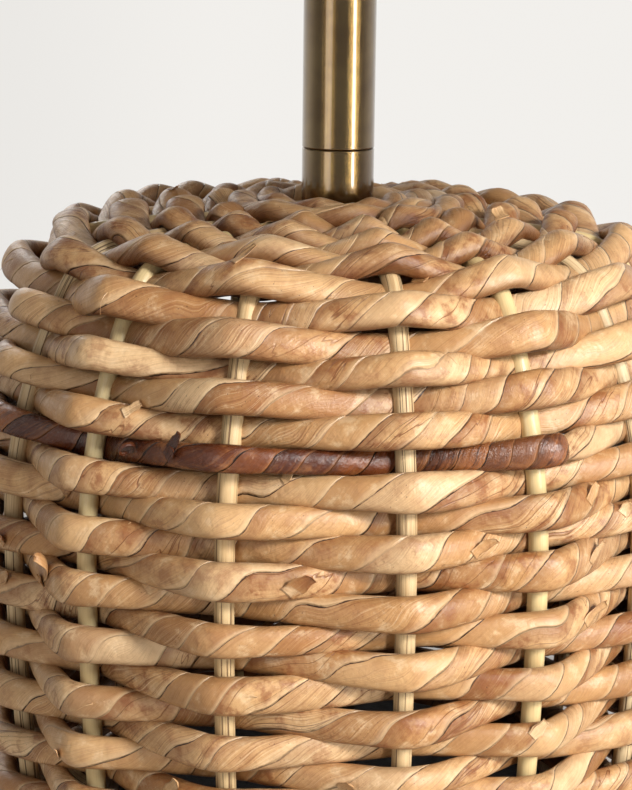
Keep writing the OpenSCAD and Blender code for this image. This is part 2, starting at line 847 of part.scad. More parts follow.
// Shade
shade_top = spider_z + spider_drop;
shade_z = shade_top - shade_h;
inner_gap = linen_t + fit + lining_t + fit;
top_ring_z = shade_top - ring_d / 2 - fit;
bottom_ring_z = shade_z + ring_d / 2 + fit;
function shade_wall(z) = shade_r + (shade_top_r - shade_r) * (z - shade_z) / shade_h;
top_ring_r = shade_wall(top_ring_z) - inner_gap - ring_d / 2;
bottom_ring_r = shade_wall(bottom_ring_z) - inner_gap - ring_d / 2;

// A cone wall from z0 to z1, from one depth inside the linen's outer face to another
module shade_band(z0, z1, out, in) {
  polygon([
    [shade_wall(z0) - in, z0], [shade_wall(z0) - out, z0],
    [shade_wall(z1) - out, z1], [shade_wall(z1) - in, z1]
  ]);
}

module shade_linen() {
  color(linen) rotate_extrude() shade_band(shade_z, shade_top, 0, linen_t);
}

module shade_lining() {
  color("#f7f4ec") rotate_extrude()
    shade_band(shade_z, shade_top, linen_t + fit, linen_t + fit + lining_t);
}

module ring_at(r, z) {
  rotate_extrude() translate([r, z]) circle(d = ring_d);
}

module top_ring() {
  color("#e9e6df") ring_at(top_ring_r, top_ring_z);
}

module bottom_ring() {
  color("#e9e6df") ring_at(bottom_ring_r, bottom_ring_z);
}

// Hem tape folded over an edge: down outside, across, and up inside the ring
module hem(edge, into) {
  far = edge + into * hem_h;
  lip = edge - into * (fit + hem_t);
  shade_band(min(lip, far), max(lip, far), -fit - hem_t, -fit);
  shade_band(min(lip, far), max(lip, far), inner_gap + ring_d + fit, inner_gap + ring_d + fit + hem_t);
  shade_band(min(lip, edge - into * fit), max(lip, edge - into * fit), -fit, inner_gap + ring_d + fit);
}

arm_in = spider_d / 2 - 2;
// The arms are welded to the lower edge of the washer, clear of the knob that turns above it
arm_z = spider_z;
arm_rise = atan2(top_ring_z - arm_z, top_ring_r - arm_in);

module spider_arms(d) {
  for (i = [0:2]) rotate([0, 0, 30 + 120 * i])
    translate([arm_in, 0, arm_z]) rotate([0, 90 - arm_rise, 0])
      cylinder(d = d, h = norm([top_ring_r - arm_in, top_ring_z - arm_z]));
}

module spider() {
  color("#e9e6df") difference() {
    union() {
      translate([0, 0, spider_z]) cylinder(d = spider_d, h = spider_t);
      spider_arms(ring_d);
    }
    translate([0, 0, spider_z - 1]) cylinder(d = stud_d + 2 * turn_gap, h = spider_t + 2);
    rotate_extrude() translate([top_ring_r, top_ring_z]) circle(d = ring_d + 2 * fit);
  }
}

module top_hem() {
  color(linen) difference() {
    rotate_extrude() hem(shade_top, -1);
    spider_arms(ring_d + 2 * fit);
  }
}

module bottom_hem() {
  color(linen) rotate_extrude() hem(shade_z, 1);
}

// Finial
finial_z = spider_z + spider_t + turn_gap;
finial_neck_r = 5;
finial_foot = 3;

module finial() {
  cove = finial_base_d / 2 - finial_neck_r;
  ball_z = finial_stem + sqrt(pow(finial_ball / 2, 2) - pow(finial_neck_r, 2));
  color(bright_brass) translate([0, 0, finial_z]) difference() {
    rotate_extrude() {
      difference() {
        square([finial_base_d / 2, finial_foot + cove]);
        translate([finial_base_d / 2, finial_foot + cove]) circle(cove);
      }
      square([finial_neck_r, finial_stem + 0.5]);
      translate([finial_neck_r, finial_stem - 2]) circle(1);
      intersection() {
        translate([0, ball_z]) circle(d = finial_ball);
        square([finial_ball, ball_z + finial_ball]);
      }
    }
    translate([0, 0, -1]) cylinder(d = stud_d + 2 * turn_gap, h = stud_h - spider_t + 1);
  }
}

felt_pad();
plinth();
cord_grommet();
rod_nut();
rod_washer();
basket_floor();
iron_weight();
spacer_tube();
stakes();
foot_rows();
lower_rows();
belly_rows();
dark_strand();
upper_rows();
shoulder_rows();
crown_rows();
crown_coil();
hub_disc();
neck_collar();
neck_tube();
neck_cap();
threaded_rod();
harp_saddle();
harp_bow();
harp_stud();
socket_cap();
socket_shell();
socket_liner();
socket_core();
screw_shell();
centre_contact();
terminal_screws();
left_sleeve();
right_sleeve();
switch_spindle();
switch_knob();
bulb_glass();
bulb_cap();
bulb_contact();
spider();
top_ring();
bottom_ring();
shade_linen();
shade_lining();
top_hem();
bottom_hem();
finial();
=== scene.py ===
# Dresses the table lamp: twisted-leaf strand, grooved canes, aged brass, linen shade
import json
import math

import bpy
import numpy as np
from mathutils import Matrix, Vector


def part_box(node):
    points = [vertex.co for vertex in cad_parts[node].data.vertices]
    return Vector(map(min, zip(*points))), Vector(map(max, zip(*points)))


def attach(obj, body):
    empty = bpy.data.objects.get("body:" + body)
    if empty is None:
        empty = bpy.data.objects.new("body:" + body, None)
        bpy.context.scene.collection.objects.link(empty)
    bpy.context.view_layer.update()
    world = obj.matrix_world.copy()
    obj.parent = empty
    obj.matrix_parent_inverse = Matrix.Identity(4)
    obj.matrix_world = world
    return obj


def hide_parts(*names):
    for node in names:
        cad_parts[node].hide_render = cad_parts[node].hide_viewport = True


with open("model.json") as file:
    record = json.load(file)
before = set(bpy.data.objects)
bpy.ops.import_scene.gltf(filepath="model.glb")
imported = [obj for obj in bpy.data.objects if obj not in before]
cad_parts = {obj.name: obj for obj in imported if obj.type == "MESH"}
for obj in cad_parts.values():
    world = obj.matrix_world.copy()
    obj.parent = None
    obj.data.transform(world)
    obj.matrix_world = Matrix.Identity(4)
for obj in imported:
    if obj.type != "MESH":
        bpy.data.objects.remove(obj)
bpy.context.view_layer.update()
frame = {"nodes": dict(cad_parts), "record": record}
nodes = frame["nodes"]
print("frame loaded:", len(nodes), "nodes")

mm = 0.001


camera = {
    "lens": 100.0,           # mm
    "sensor": 36.0,          # mm, on the picture's long side
    "distance": 0.668,       # m in front of the lamp's axis
    "aboveBelly": 0.1785,    # m above the basket's widest part
    "pitchDown": 12.45,      # degrees
    "roll": 0.7,
    "yaw": 0.50,
}


def addCamera(bellyZ):
    data = bpy.data.cameras.new("frontCamera")
    data.lens = camera["lens"]
    data.sensor_width = camera["sensor"]
    data.clip_start = 0.01
    data.clip_end = 50.0
    obj = bpy.data.objects.new("frontCamera", data)
    bpy.context.scene.collection.objects.link(obj)
    turn = (Matrix.Rotation(math.radians(camera["yaw"]), 4, "Z")
            @ Matrix.Rotation(math.radians(90 - camera["pitchDown"]), 4, "X")
            @ Matrix.Rotation(math.radians(camera["roll"]), 4, "Z"))
    place = Matrix.Translation((0, -camera["distance"], bellyZ + camera["aboveBelly"]))
    obj.matrix_world = place @ turn
    bpy.context.scene.camera = obj


light = {
    # name: degrees to the right of the front, height, distance, size (all in m), watts, colour
    "softboxes": {
        "key": (44.0, 0.72, 1.25, (0.30, 0.26), 22.0, (1.0, 0.985, 0.96)),
        "strip": (48.0, 0.26, 1.25, (0.17, 0.50), 6.0, (1.0, 0.99, 0.96)),
        "fill": (-33.0, 0.40, 1.4, (0.55, 0.9), 4.5, (1.0, 0.945, 0.875)),
        "back": (205.0, 1.0, 1.5, (0.7, 0.7), 11.0, (1.0, 0.98, 0.95)),
    },
    "aimHeight": 0.16,       # m, the height that every softbox points at
    "ambient": (1.0, 0.985, 0.96),
    "ambientStrength": 0.09,
    "wallColour": (0.888, 0.868, 0.836),
    "wallDim": 0.93,         # share of that colour at the left end of the wall
    "wallFade": (-0.17, -0.04),   # sideways part of the view direction where the dimming runs out
    "roomDark": 0.34,        # share of the wall's light that the front of the room sends back
    "roomFade": (-0.35, 0.45),    # from the front of the room to the back
}


def addSoftbox(name, azimuth, height, distance, size, watts, colour):
    data = bpy.data.lights.new(name, "AREA")
    data.shape = "RECTANGLE"
    data.size, data.size_y = size
    data.energy = watts
    data.color = colour
    obj = bpy.data.objects.new(name, data)
    bpy.context.scene.collection.objects.link(obj)
    a = math.radians(azimuth)
    spot = np.array([distance * math.sin(a), -distance * math.cos(a), height])
    aim = np.array([0.0, 0.0, light["aimHeight"]]) - spot
    pitch = math.atan2(aim[2], math.hypot(aim[0], aim[1]))
    obj.matrix_world = (Matrix.Translation(spot)
                        @ Matrix.Rotation(a, 4, "Z")
                        @ Matrix.Rotation(math.radians(90) + pitch, 4, "X"))


floor = {
    "radius": 1.05,          # m
    "sides": 96,
    "drop": 0.0005,          # m under the felt
    "colour": (0.48, 0.468, 0.45, 1),
    "roughness": 0.75,
}


def addFloor():
    # A flat disc just under the lamp
    sides = floor["sides"]
    a = np.linspace(0, 2 * np.pi, sides, endpoint=False)
    x, y = floor["radius"] * np.cos(a), floor["radius"] * np.sin(a)
    verts = np.column_stack([x, y, np.full(sides, -floor["drop"])])
    mesh = bpy.data.meshes.new("floor")
    mesh.from_pydata(verts.tolist(), [], [list(range(sides))])
    obj = bpy.data.objects.new("floor", mesh)
    bpy.context.scene.collection.objects.link(obj)
    mat = bpy.data.materials.new("paleFloor")
    mat.use_nodes = True
    shader = mat.node_tree.nodes["Principled BSDF"]
    shader.inputs["Base Color"].default_value = floor["colour"]
    shader.inputs["Roughness"].default_value = floor["roughness"]
    mesh.materials.append(mat)


def srgb(r, g, b):
    c = np.array([r, g, b]) / 255.0
    return tuple(np.where(c <= 0.04045, c / 12.92, ((c + 0.055) / 1.055) ** 2.4)) + (1.0,)


class Wiring:
    # A node tree being wired up: each call adds one node and hands back its output
    def __init__(self, tree):
        self.tree = tree

    def put(self, socket, value):
        if hasattr(value, "is_output"):
            self.tree.links.new(value, socket)
        else:
            socket.default_value = value

    def add(self, kind, out=0, settings=None, **values):
        # An input is named by its label, with _ for a space, or as i0, i1... by its place
        node = self.tree.nodes.new("ShaderNode" + kind)
        for key, value in (settings or {}).items():
            setattr(node, key, value)
        for key, value in values.items():
            label = int(key[1:]) if key[1:].isdigit() else key.replace("_", " ")
            self.put(node.inputs[label], value)
        return node.outputs[out]

    def math(self, operation, a, b=0.0):
        return self.add("Math", settings={"operation": operation}, i0=a, i1=b)

    def times(self, a, b):
        return self.math("MULTIPLY", a, b)

    def over(self, a, b):
        return self.math("DIVIDE", a, b)

    def plus(self, a, b):
        return self.math("ADD", a, b)

    def minus(self, a, b):
        return self.math("SUBTRACT", a, b)

    def larger(self, a, b):
        return self.math("MAXIMUM", a, b)

    def axes(self, vector):
        node = self.tree.nodes.new("ShaderNodeSeparateXYZ")
        self.tree.links.new(vector, node.inputs[0])
        return tuple(node.outputs)

    def uv(self, name):
        return self.axes(self.add("UVMap", settings={"uv_map": name}))[:2]

    def place(self):
        return self.add("TexCoord", out="Object")

    def point(self, x=0.0, y=0.0, z=0.0):
        return self.add("CombineXYZ", i0=x, i1=y, i2=z)

    def noise(self, vector, scale, detail=3.0, rough=0.55):
        return self.add("TexNoise", Vector=vector, Scale=scale, Detail=detail, Roughness=rough)

    def chance(self, value):
        return self.add("TexWhiteNoise", settings={"noise_dimensions": "1D"}, W=value)

    def span(self, value, low, high, to0=0.0, to1=1.0):
        # Eased from to0 where the value is low to to1 where it is high
        return self.add("MapRange", settings={"interpolation_type": "SMOOTHSTEP"},
                        i0=value, i1=low, i2=high, i3=to0, i4=to1)

    def ramp(self, value, stops):
        node = self.tree.nodes.new("ShaderNodeValToRGB")
        band = node.color_ramp
        while len(band.elements) < len(stops):
            band.elements.new(0.5)
        for element, (where, colour) in zip(band.elements, stops):
            element.position = where
            element.color = colour
        self.tree.links.new(value, node.inputs[0])
        return node.outputs[0]

    def mix(self, factor, a, b, blend="MIX"):
        return self.add("Mix", out="Result", settings={"data_type": "RGBA", "blend_type": blend},
                        Factor=factor, A=a, B=b)

    def bump(self, height, distance):
        return self.add("Bump", Height=height, Distance=distance)


class Finish(Wiring):
    # A material that ends in one Principled shader
    def __init__(self, name, **sockets):
        self.mat = bpy.data.materials.new(name)
        self.mat.use_nodes = True
        super().__init__(self.mat.node_tree)
        self.shader = self.tree.nodes["Principled BSDF"]
        for key, value in sockets.items():
            self.shader.inputs[key.replace("_", " ")].default_value = value

    def finish(self, colour, roughness, normal):
        for key, value in (("Base Color", colour), ("Roughness", roughness), ("Normal", normal)):
            if value is not None:
                self.tree.links.new(value, self.shader.inputs[key])
        return self.mat


def addWorld():
    world = bpy.data.worlds.new("studio")
    world.use_nodes = True
    bpy.context.scene.world = world
    w = Wiring(world.node_tree)
    w.tree.nodes.clear()
    x, y, z = w.axes(w.add("TexCoord", out="Generated"))
    byCamera = w.add("LightPath", out="Is Camera Ray")
    byMetal = w.add("LightPath", out="Is Glossy Ray")
    byGlass = w.add("LightPath", out="Is Transmission Ray")
    # The wall's colour carries painted shade that falls off a little towards the left, and metal sees
    # a dimmer room in front of the lamp
    dimWall = (*[light["wallDim"] * c for c in light["wallColour"]], 1)
    wall = w.mix(w.span(x, *light["wallFade"]), dimWall, (*light["wallColour"], 1))
    room = w.span(y, *light["roomFade"], light["roomDark"], 1.0)
    shown = w.add("Background", Color=wall, Strength=w.larger(byCamera, room))
    lit = w.add("Background", Color=(*light["ambient"], 1), Strength=light["ambientStrength"])
    seen = w.larger(w.larger(byCamera, byMetal), byGlass)
    both = w.add("MixShader", Fac=seen, i1=lit, i2=shown)
    w.tree.links.new(both, w.tree.nodes.new("ShaderNodeOutputWorld").inputs["Surface"])


leafLook = {                 # colours in 0-255
    "patches": [(0.0, (164, 118, 72)), (0.2, (196, 150, 100)), (0.45, (214, 172, 122)),
                (0.7, (190, 142, 90)), (0.85, (224, 188, 142)), (1.0, (176, 126, 76))],
    # The streak colour also paints the shade below each lap, and the bleach colour a painted
    # highlight on its lip
    "seam": (54, 22, 7), "streakAndShade": (120, 68, 32), "scorch": (138, 78, 38), "bleachAndHighlight": (240, 212, 172),
    # The next colour and share paint shade on the strand's underside and inner side
    "paintedShadeTone": (150, 118, 92), "paintedShadeShare": 0.9,
    "rough": 0.36, "shine": 0.5,
    "veinShare": 0.6, "turnVeins": 26.0,      # how much the veins darken, and how many fit in a turn
    "seamWidth": 0.055,                       # share of a turn
    "relief": 0.0006,                         # m
}
darkLeafLook = {
    "patches": [(0.0, (72, 32, 14)), (0.35, (94, 44, 20)), (0.7, (114, 58, 26)),
                (1.0, (142, 84, 42))],
    # The streak colour also paints the shade below each lap, and the bleach colour a painted
    # highlight on its lip
    "seam": (26, 8, 3), "streakAndShade": (46, 17, 7), "scorch": (56, 20, 8), "bleachAndHighlight": (178, 120, 74),
    # The next colour and share paint shade on the strand's underside and inner side
    "paintedShadeTone": (150, 118, 92), "paintedShadeShare": 0.7,
    "rough": 0.24, "shine": 0.55,
    "veinShare": 0.9, "turnVeins": 9.0,
    "seamWidth": 0.12,
    "relief": 0.0006,
}


def leafMaterial(name, look):
    # Dried leaf wound round the strand. Each turn of the helix has its own tone, fine veins run
    # along the turn, and a dark line marks the edge where one turn laps over the next
    f = Finish(name, Specular_IOR_Level=look["shine"])
    wrap, across = f.uv("wrap")
    lay, girth = f.uv("lay")
    skin = f.point(lay, girth, 0.0)
    turn = f.math("FLOOR", wrap)
    part = f.math("FRACT", wrap)
    luck = f.chance(turn)
    luckB = f.chance(f.plus(turn, 0.37))
    luckC = f.chance(f.plus(turn, 0.71))
    seam, streakAndShade, scorch, bleachAndHighlight, paintedShadeTone = [srgb(*look[key]) for key in
                                          ("seam", "streakAndShade", "scorch", "bleachAndHighlight", "paintedShadeTone")]
    tone = f.ramp(luck, [(where, srgb(*colour)) for where, colour in look["patches"]])
    # Colour drifts along the strand, and clouds and small blotches darken it
    drift = f.noise(f.point(f.times(lay, 7.0), 0.0, 0.0), 1.0, 2.0)
    tone = f.mix(f.span(drift, 0.50, 0.72, 0.0, 0.5), tone, scorch)
    tone = f.mix(f.span(drift, 0.48, 0.30, 0.0, 0.3), tone, bleachAndHighlight)
    cloud = f.noise(skin, 150.0, 6.0, 0.68)
    tone = f.mix(f.times(f.span(cloud, 0.46, 0.64), f.span(luckC, 0.1, 0.9, 0.2, 0.8)), tone, scorch)
    tone = f.mix(f.span(cloud, 0.47, 0.33, 0.0, 0.45), tone, bleachAndHighlight)
    fibre = f.noise(f.point(f.times(wrap, 60.0), f.times(across, 5.0), luckC), 1.0, 2.0, 0.6)
    tone = f.mix(f.span(fibre, 0.45, 0.75, 0.0, 0.30), tone, streakAndShade)
    # Veins are fine lines that keep to one place across the leaf, strong on some turns
    veinAt = f.point(f.times(wrap, look["turnVeins"]), f.times(across, 1.6), luckB)
    vein = f.noise(veinAt, 1.0, 3.0, 0.75)
    veiny = f.span(luckB, 0.35, 0.95, 0.16, 1.0)
    tone = f.mix(f.times(f.span(vein, 0.50, 0.68), f.times(veiny, look["veinShare"])), tone, streakAndShade)
    tone = f.mix(f.times(f.span(vein, 0.47, 0.30), f.times(veiny, 0.5)), tone, bleachAndHighlight)
    # A crease or two follows the turn and wanders
    creaseAt = f.point(f.times(wrap, 2.6), f.times(across, 0.9), f.times(luckC, 9.0))
    crease = f.math("ABSOLUTE", f.minus(f.noise(creaseAt, 1.0, 2.0, 0.4), 0.5))
    folded = f.times(f.span(crease, 0.010, 0.0), f.span(luckC, 0.45, 0.75, 0.0, 0.8))
    tone = f.mix(folded, tone, streakAndShade)
    # Pin-head specks
    speck = f.noise(skin, 1500.0, 1.0, 0.5)
    tone = f.mix(f.times(f.span(speck, 0.70, 0.76), f.span(luckB, 0.3, 0.6, 0.0, 0.7)), tone, seam)
    # The lap: a thin dark line that comes and goes, a paler lip on it that is a painted highlight,
    # and painted shade below it where the leaf runs under the next turn
    wander = f.noise(f.point(lay, girth, luck), 210.0, 3.0, 0.6)
    wide = f.times(f.span(wander, 0.35, 0.7, 0.25, 1.0), look["seamWidth"])
    edge = f.minus(1.0, f.span(f.over(part, wide), 0.35, 1.0))
    tone = f.mix(f.times(f.span(part, 0.55, 1.0), f.span(luckC, 0.1, 0.9, 0.1, 0.6)), tone, streakAndShade)
    tone = f.mix(f.span(part, 0.05, 0.22, 0.30, 0.0), tone, bleachAndHighlight)
    tone = f.mix(f.times(edge, f.span(luck, 0.0, 0.6, 0.15, 1.0)), tone, seam)
    # Painted shade: the underside and the side towards the basket's inside are browned, standing in
    # for the shade that falls there
    paintedShadeMask = f.larger(f.span(across, 0.43, 0.20), f.span(across, 0.76, 0.95))
    tone = f.mix(f.times(paintedShadeMask, look["paintedShadeShare"]), tone, paintedShadeTone, "MULTIPLY")
    gloss = f.plus(f.times(vein, 0.22), f.plus(f.times(cloud, 0.16), look["rough"] - 0.16))
    step = f.times(f.span(part, 0.0, 0.06), f.minus(1.25, f.times(part, 0.6)))
    height = f.plus(f.times(vein, f.times(veiny, 0.42)), step)
    height = f.minus(height, f.times(folded, 0.3))
    height = f.plus(height, f.times(f.noise(skin, 620.0, 4.0), 0.30))
    height = f.plus(height, f.times(fibre, 0.16))
    height = f.plus(height, f.times(cloud, 0.8))
    return f.finish(tone, gloss, f.bump(height, look["relief"]))


caneTones = {                # colours in 0-255
    "peeled": [(0.0, (222, 196, 152)), (0.5, (232, 210, 170)), (1.0, (214, 184, 136))],
    "skin": [(0.0, (232, 212, 162)), (1.0, (220, 194, 140))],
    "cloud": (192, 152, 100), "grain": (160, 112, 68), "groove": (92, 54, 28),
    "shine": 0.45,
    "relief": 0.0003,        # m
}


def caneMaterial():
    # Peeled cane: the smooth ones keep a glossy skin, the grooved ones show dark lines along them
    look = caneTones
    f = Finish("grooveCane", Specular_IOR_Level=look["shine"])
    length, girth = f.uv("lay")
    stake, grooved = f.uv("kind")
    luck = f.chance(stake)
    peeled, skin = [f.ramp(luck, [(where, srgb(*colour)) for where, colour in look[key]])
                    for key in ("peeled", "skin")]
    base = f.mix(grooved, skin, peeled)
    cloud = f.noise(f.point(f.times(length, 0.5), girth, stake), 1.0, 3.0, 0.5)
    grain = f.noise(f.point(f.times(length, 0.7), f.times(girth, 60.0), stake), 1.0, 2.0, 0.6)
    line = f.noise(f.point(f.times(length, 0.16), f.times(girth, 30.0), stake), 1.0, 1.0, 0.4)
    dark = f.times(f.span(line, 0.60, 0.66), f.span(grooved, 0.0, 1.0, 0.05, 0.8))
    grainy = f.times(f.span(grain, 0.48, 0.7), f.span(grooved, 0.0, 1.0, 0.12, 0.5))
    tone = f.mix(f.span(cloud, 0.42, 0.75, 0.0, 0.45), base, srgb(*look["cloud"]))
    tone = f.mix(grainy, tone, srgb(*look["grain"]))
    tone = f.mix(dark, tone, srgb(*look["groove"]))
    height = f.minus(f.times(grain, 0.25), dark)
    return f.finish(tone, f.span(grooved, 0.0, 1.0, 0.3, 0.5), f.bump(height, look["relief"]))


def brassMaterial(name, pale, deep, rough, brush, coat):
    # Turned or drawn brass: fine lines run round or along it, with a faint uneven patina
    f = Finish(name, Metallic=1.0, Coat_Weight=coat, Coat_Roughness=0.10, Coat_IOR=1.6)
    x, y, z = f.axes(f.place())
    turn = f.math("ARCTAN2", y, x)
    lines = f.noise(f.point(f.times(turn, brush[0]), f.times(z, brush[1]), 0.0), 1.0, 4.0, 0.7)
    cloud = f.noise(f.place(), 38.0, 4.0, 0.6)
    tone = f.mix(f.span(cloud, 0.35, 0.68), pale, deep)
    tone = f.mix(f.span(lines, 0.3, 0.8, 0.0, 0.35), tone, deep)
    roughness = f.plus(f.times(lines, 0.16), rough)
    return f.finish(tone, roughness, f.bump(lines, 0.00003))


def woodMaterial(name, pale, deep, gloss):
    f = Finish(name)
    x, y, z = f.axes(f.place())
    warp = f.noise(f.place(), 9.0, 3.0)
    ring = f.plus(f.times(x, 95.0), f.times(warp, 2.6))
    band = f.noise(f.point(ring, f.times(y, 3.5), f.times(z, 10.0)), 2.2, 4.0, 0.6)
    pore = f.noise(f.point(f.times(x, 900.0), f.times(y, 45.0), f.times(z, 500.0)), 1.0, 2.0)
    tone = f.mix(f.span(band, 0.35, 0.68), pale, deep)
    tone = f.mix(f.span(pore, 0.56, 0.72, 0.0, 0.45), tone, deep)
    height = f.minus(f.times(band, 0.4), f.span(pore, 0.58, 0.72))
    return f.finish(tone, f.span(band, 0.2, 0.8, gloss, gloss + 0.15), f.bump(height, 0.0002))


def linenMaterial(name, pale, deep, thread, bumpDepth, middleR):
    # Plain weave: threads run round the drum and up it, with slubs where one swells
    f = Finish(name, Roughness=0.85, Specular_IOR_Level=0.25, Sheen_Weight=0.25, Sheen_Roughness=0.5)
    x, y, z = f.axes(f.place())
    turn = f.math("ARCTAN2", y, x)
    around = f.times(turn, middleR / thread)
    up = f.times(z, 1.0 / thread)
    warpWave = f.math("ABSOLUTE", f.math("SINE", f.times(around, math.pi)))
    weftWave = f.math("ABSOLUTE", f.math("SINE", f.times(up, math.pi)))
    sign = f.math("SINE", f.times(f.plus(around, 0.5), math.pi))
    checker = f.times(sign, f.math("SINE", f.times(f.plus(up, 0.5), math.pi)))
    pick = f.span(checker, -0.35, 0.35)
    weave = f.add("Mix", settings={"data_type": "FLOAT"}, i0=pick, i2=warpWave, i3=weftWave)
    warpThread, weftThread = [f.times(f.math("FLOOR", count), 0.73) for count in (around, up)]
    slubUp = f.noise(f.point(warpThread, f.times(z, 30.0), 0.0), 1.0, 2.0)
    slubRound = f.noise(f.point(weftThread, f.times(turn, 6.0), 5.0), 1.0, 2.0)
    slub = f.larger(f.span(slubUp, 0.60, 0.72), f.span(slubRound, 0.58, 0.70))
    tone = f.mix(f.times(weave, 0.55), deep, pale)
    tone = f.mix(f.times(slub, 0.35), tone, deep)
    height = f.plus(weave, f.times(slub, 0.8))
    return f.finish(tone, None, f.bump(height, bumpDepth))


def plainMaterial(name, pale, deep, rough, scale, depth, **extra):
    # A finish with a little unevenness in colour, gloss and surface
    f = Finish(name, **extra)
    cloud = f.noise(f.place(), scale, 4.0, 0.6)
    fine = f.noise(f.place(), scale * 14, 3.0, 0.6)
    tone = f.mix(f.span(cloud, 0.35, 0.68), pale, deep)
    roughness = f.plus(f.times(fine, 0.14), rough - 0.05)
    return f.finish(tone, roughness, f.bump(fine, depth) if depth else None)


plainLook = {
    # slot: name, paler and deeper colour in 0-255, roughness, clouds in a metre, relief in m
    "felt": ("pressedFelt", (74, 66, 58), (56, 50, 44), 0.95, 180.0, 0.0004),
    "steel": ("zincSteel", (176, 177, 180), (140, 142, 146), 0.34, 90.0, 0.00003),
    "iron": ("castIron", (66, 66, 68), (46, 46, 48), 0.6, 70.0, 0.0003),
    "black_rubber": ("blackRubber", (44, 43, 42), (34, 33, 32), 0.6, 80.0, 0.00006),
    "phenolic": ("darkPhenolic", (52, 46, 42), (38, 33, 30), 0.28, 120.0, 0.00002),
    "card": ("linerCard", (206, 194, 168), (186, 172, 144), 0.85, 200.0, 0.0001),
    "lamp_aluminium": ("lampAluminium", (206, 208, 212), (180, 182, 188), 0.3, 90.0, 0.00003),
    "opal_glass": ("opalGlass", (240, 238, 230), (232, 229, 219), 0.24, 30.0, 0.0),
    "vitrite": ("blackVitrite", (36, 36, 42), (26, 26, 30), 0.12, 80.0, 0.0),
    "white_wire": ("whitePaint", (228, 224, 215), (216, 211, 200), 0.4, 70.0, 0.00003),
    "lining": ("shadeLining", (240, 238, 232), (234, 231, 224), 0.55, 30.0, 0.00003),
}
plainExtra = {
    "felt": {"Sheen_Weight": 0.4},
    "steel": {"Metallic": 1.0},
    "lamp_aluminium": {"Metallic": 1.0},
    "opal_glass": {"Coat_Weight": 0.25, "Subsurface_Weight": 0.25, "Subsurface_Scale": 0.01},
}
richLook = {
    # slot: kind, name, paler and deeper colour in 0-255, then for brass its roughness, its lines
    # round and up, and its coat; for wood its roughness; for linen its thread, its relief and the
    # middle radius of the drum, all in m
    "old_brass": (brassMaterial, "agedBrass", (130, 107, 64), (96, 70, 35), 0.12, (90.0, 3.0), 1.0),
    "bright_brass": (brassMaterial, "satinBrass", (196, 166, 104), (166, 134, 78),
                     0.22, (2.0, 2600.0), 0.3),
    "plinth_wood": (woodMaterial, "stainedWood", (150, 108, 68), (104, 68, 38), 0.34),
    "plain_wood": (woodMaterial, "plainBoard", (206, 172, 128), (170, 130, 86), 0.55),
    "linen": (linenMaterial, "shadeLinen", (194, 189, 179), (166, 158, 144),
              0.00055, 0.00018, 0.19),
}


def makeMaterials():
    mats = {
        "straw": leafMaterial("twistedLeaf", leafLook),
        "dark_straw": leafMaterial("darkLeaf", darkLeafLook),
        "cane": caneMaterial(),
    }
    for slot, (kind, name, pale, deep, *values) in richLook.items():
        mats[slot] = kind(name, srgb(*pale), srgb(*deep), *values)
    for slot, (name, pale, deep, *values) in plainLook.items():
        extra = plainExtra.get(slot, {})
        mats[slot] = plainMaterial(name, srgb(*pale), srgb(*deep), *values, **extra)
    return mats


def dress(node, material):
    mesh = nodes[node].data
    if len(mesh.materials) == 0:
        mesh.materials.append(material)
    for i in range(len(mesh.materials)):
        mesh.materials[i] = material


def gridObject(name, grids, material, body, replaced=()):
    # Each grid is (points [rings, round, 3], {uvName: [rings, round + 1, 2]}): a closed tube
    # whose ends are shut by a point; the last column of a uv closes the seam
    points, quads, caps, uvs = [], [], [], {}
    capUvs = {}
    base = 0
    for pts, maps in grids:
        rings, around = pts.shape[:2]
        i, j = np.meshgrid(np.arange(rings - 1), np.arange(around), indexing="ij")
        k = (j + 1) % around
        here, above = i * around, (i + 1) * around
        quad = np.stack([here + j, here + k, above + k, above + j], -1)
        flat = pts.reshape(-1, 3)
        a, b, c = flat[quad[..., 0]], flat[quad[..., 1]], flat[quad[..., 2]]
        mid = pts.mean(1)[i]
        outward = (np.cross(b - a, c - a) * (a - mid)).sum() > 0
        order = [0, 1, 2, 3] if outward else [3, 2, 1, 0]
        quads.append(quad[..., order].reshape(-1, 4) + base)
        ends = np.stack([pts[0].mean(0), pts[-1].mean(0)])
        points += [flat, ends]
        n = rings * around
        ring = np.arange(around)
        nxt = (ring + 1) % around
        last = (rings - 1) * around
        first3 = np.stack([nxt, ring, np.full(around, n)], -1)
        last3 = np.stack([last + ring, last + nxt, np.full(around, n + 1)], -1)
        if not outward:
            first3, last3 = first3[:, ::-1], last3[:, ::-1]
        caps.append(np.concatenate([first3, last3]) + base)
        for key, uv in maps.items():
            corner = [uv[:-1, :-1], uv[:-1, 1:], uv[1:, 1:], uv[1:, :-1]]
            uvs.setdefault(key, []).append(np.stack([corner[o] for o in order], 2).reshape(-1, 2))
            firstUv = np.repeat(uv[0, :-1], 3, 0)
            lastUv = np.repeat(uv[-1, :-1], 3, 0)
            capUvs.setdefault(key, []).append(np.concatenate([firstUv, lastUv]))
        base += n + 2
    quads, caps = np.concatenate(quads), np.concatenate(caps)
    mesh = bpy.data.meshes.new(name)
    mesh.from_pydata(np.concatenate(points).tolist(), [], quads.tolist() + caps.tolist())
    smooth = np.arange(len(quads) + len(caps)) < len(quads)
    mesh.polygons.foreach_set("use_smooth", smooth)
    for key in uvs:
        layer = mesh.uv_layers.new(name=key)
        corners = np.concatenate(uvs[key] + capUvs[key]).astype(np.float32)
        layer.data.foreach_set("uv", corners.ravel())
    mesh.materials.append(material)
    mesh.update()
    obj = bpy.data.objects.new(name, mesh)
    bpy.context.scene.collection.objects.link(obj)
    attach(obj, body)
    if replaced:
        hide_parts(*replaced)
    print(name, len(quads) * 2 + len(caps), "triangles")
    return obj


